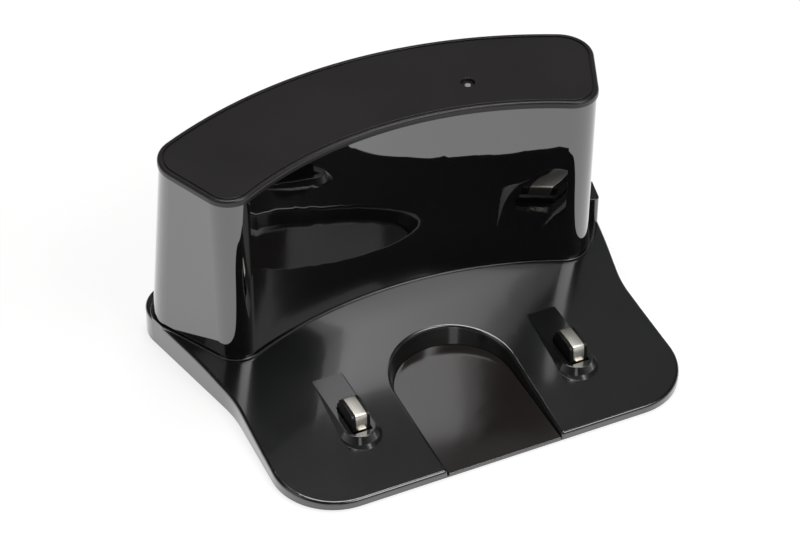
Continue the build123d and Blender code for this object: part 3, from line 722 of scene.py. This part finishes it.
# screws with a cross recess under the head and a cut thread on the shank
screwForm = {
    "headRound": 0.5,
    "recessWidth": 0.75,
    "recessSpan": 3.1,
    "recessDepth": 1.0,
    "recessTaper": (0.45, 0.6),  # the end's span and width, as shares of the mouth's
    "shankRadius": 1.5,
    "shankSunk": 0.05,  # into the head
    "tipWidth": 0.55,
    "pitch": 1.05,
    "threadDepth": 0.22,
    "threadFlank": 2.2,
    "rowsPerPitch": 6,
    "steps": 28,
}
screwGroups = {
    # CAD node: (piece, height of its heads)
    "base_screws": ("caseScrews", 1.5),
    "upright_screws": ("uprightScrews", 1.6),
}


def threadedShank(form, spot, low, high):
    look = screwForm
    rows = max(2, round((high - low) / look["pitch"] * look["rowsPerPitch"]))
    rings = []
    for row in range(rows + 1):
        height = low + (high - low) * row / rows
        taper = min(1.0, (high - height) / look["pitch"] + look["tipWidth"])
        ring = []
        for i in range(look["steps"]):
            phase = (height / look["pitch"] - i / look["steps"]) % 1.0
            depth = look["threadDepth"] * min(1.0, look["threadFlank"] * abs(phase - 0.5))
            reach = (look["shankRadius"] - depth) * taper
            angle = 2 * math.pi * i / look["steps"]
            ring.append(form.verts.new((
                spot.x + reach * math.cos(angle), spot.y + reach * math.sin(angle), height
            )))
        rings.append(ring)
    joinRings(form, rings)


def crossRecess(form, rim, spot, floorZ):
    # fills the head inside its rim and sinks a tapered cross into it
    look = screwForm
    loops = []
    for span, width, depth in ((1.0, 1.0, 0.0), (*look["recessTaper"], look["recessDepth"])):
        arm = look["recessSpan"] / 2 * span
        half = look["recessWidth"] / 2 * width
        outline = [
            (arm, -half), (arm, half), (half, half), (half, arm),
            (-half, arm), (-half, half), (-arm, half), (-arm, -half),
            (-half, -half), (-half, -arm), (half, -arm), (half, -half),
        ]
        loops.append([
            form.verts.new((spot.x + x, spot.y + y, floorZ + depth)) for x, y in outline
        ])
    mouth, end = loops
    edges = [form.edges.get((rim[k - 1], rim[k])) for k in range(len(rim))]
    edges += [form.edges.new((mouth[k - 1], mouth[k])) for k in range(len(mouth))]
    bmesh.ops.triangle_fill(form, edges=edges, use_beauty=True)
    for k in range(len(mouth)):
        form.faces.new((mouth[k - 1], mouth[k], end[k], end[k - 1]))
    form.faces.new(end)


def screwGroup(name, piece, headHeight):
    look = screwForm
    heads, shanks = bmesh.new(), bmesh.new()
    for low, high in looseBoxes(name):
        spot = Vector(((low.x + high.x) / 2, (low.y + high.y) / 2, 0))
        radius = (high.x - low.x) / 2
        top = low.z + headHeight
        profile = roundedEdge(radius, low.z, look["headRound"]) + [(radius, top), (0, top)]
        rim = lathe(heads, profile, spot, look["steps"])[0]
        crossRecess(heads, rim, spot, low.z)
        threadedShank(shanks, spot, top - look["shankSunk"], high.z)
    pieceFrom(heads, piece, "screw_steel", replaced=[name])
    pieceFrom(shanks, f"{piece}_threads", "screw_steel")


for name, (piece, headHeight) in screwGroups.items():
    screwGroup(name, piece, headHeight)
print("screws made")


# rubber feet with pressed rings on the sole
footForm = {
    "edgeRound": 0.45,
    "ringRadii": (1.6, 3.1, 4.6),
    "ringWidth": 0.5,
    "ringDepth": 0.3,
    "steps": 56,
}


def rubberFoot(name):
    look = footForm
    low, high = boxInMm(name)
    spot = Vector(((low.x + high.x) / 2, (low.y + high.y) / 2, 0))
    radius = (high.x - low.x) / 2
    profile = [(0, low.z)]
    for middle in look["ringRadii"]:
        profile += [
            (middle - look["ringWidth"] / 2, low.z),
            (middle - look["ringWidth"] / 4, low.z + look["ringDepth"]),
            (middle + look["ringWidth"] / 4, low.z + look["ringDepth"]),
            (middle + look["ringWidth"] / 2, low.z),
        ]
    profile += roundedEdge(radius, low.z, look["edgeRound"])
    profile += [(radius, high.z), (0, high.z)]
    form = bmesh.new()
    lathe(form, profile, spot, look["steps"])
    pieceFrom(form, name.replace("foot", "rubberFoot"), "foot_rubber", replaced=[name])


for row in ("front", "rear"):
    for hand in ("left", "right"):
        rubberFoot(f"foot_{row}_{hand}")
print("rubber feet made")


# metal sleeve and pin of the power socket
socketMetal = {
    "boreRadius": 3.1,
    "sleeveGap": 0.02,
    "sleeveWall": 0.15,
    "sleeveSetBack": 0.5,
    "sleeveLength": 9.2,
    "sleeveSteps": 40,
    "pinRadius": 1.03,
    "pinSetBack": 0.45,
    "pinRoot": 0.3,
    "pinSteps": 24,
    "tipSteps": 6,
}


def socketFittings():
    look = socketMetal
    low, high = boxInMm("power_socket")
    spot = Vector((high.x, (low.y + high.y) / 2, (low.z + high.z) / 2))
    outer = look["boreRadius"] - look["sleeveGap"]
    inner = outer - look["sleeveWall"]
    near = -look["sleeveSetBack"]
    far = near - look["sleeveLength"]
    form = bmesh.new()
    wall = [(outer, far), (outer, near), (inner, near), (inner, far), (outer, far)]
    lathe(form, wall, spot, look["sleeveSteps"], "X")
    pieceFrom(form, "socketSleeve", "nickel_contact")

    pin, root, tip = look["pinRadius"], far + look["pinRoot"], near - look["pinSetBack"]
    profile = [(0, root), (pin, root)]
    profile += [
        (pin * math.cos(a), tip + pin * math.sin(a))
        for a in (math.radians(90 * k / look["tipSteps"]) for k in range(look["tipSteps"]))
    ]
    profile.append((0, tip + pin))
    form = bmesh.new()
    lathe(form, profile, spot, look["pinSteps"], "X")
    pieceFrom(form, "socketPin", "nickel_contact")


socketFittings()
print("socket fittings made")

bpy.context.scene.view_settings.view_transform = "Standard"
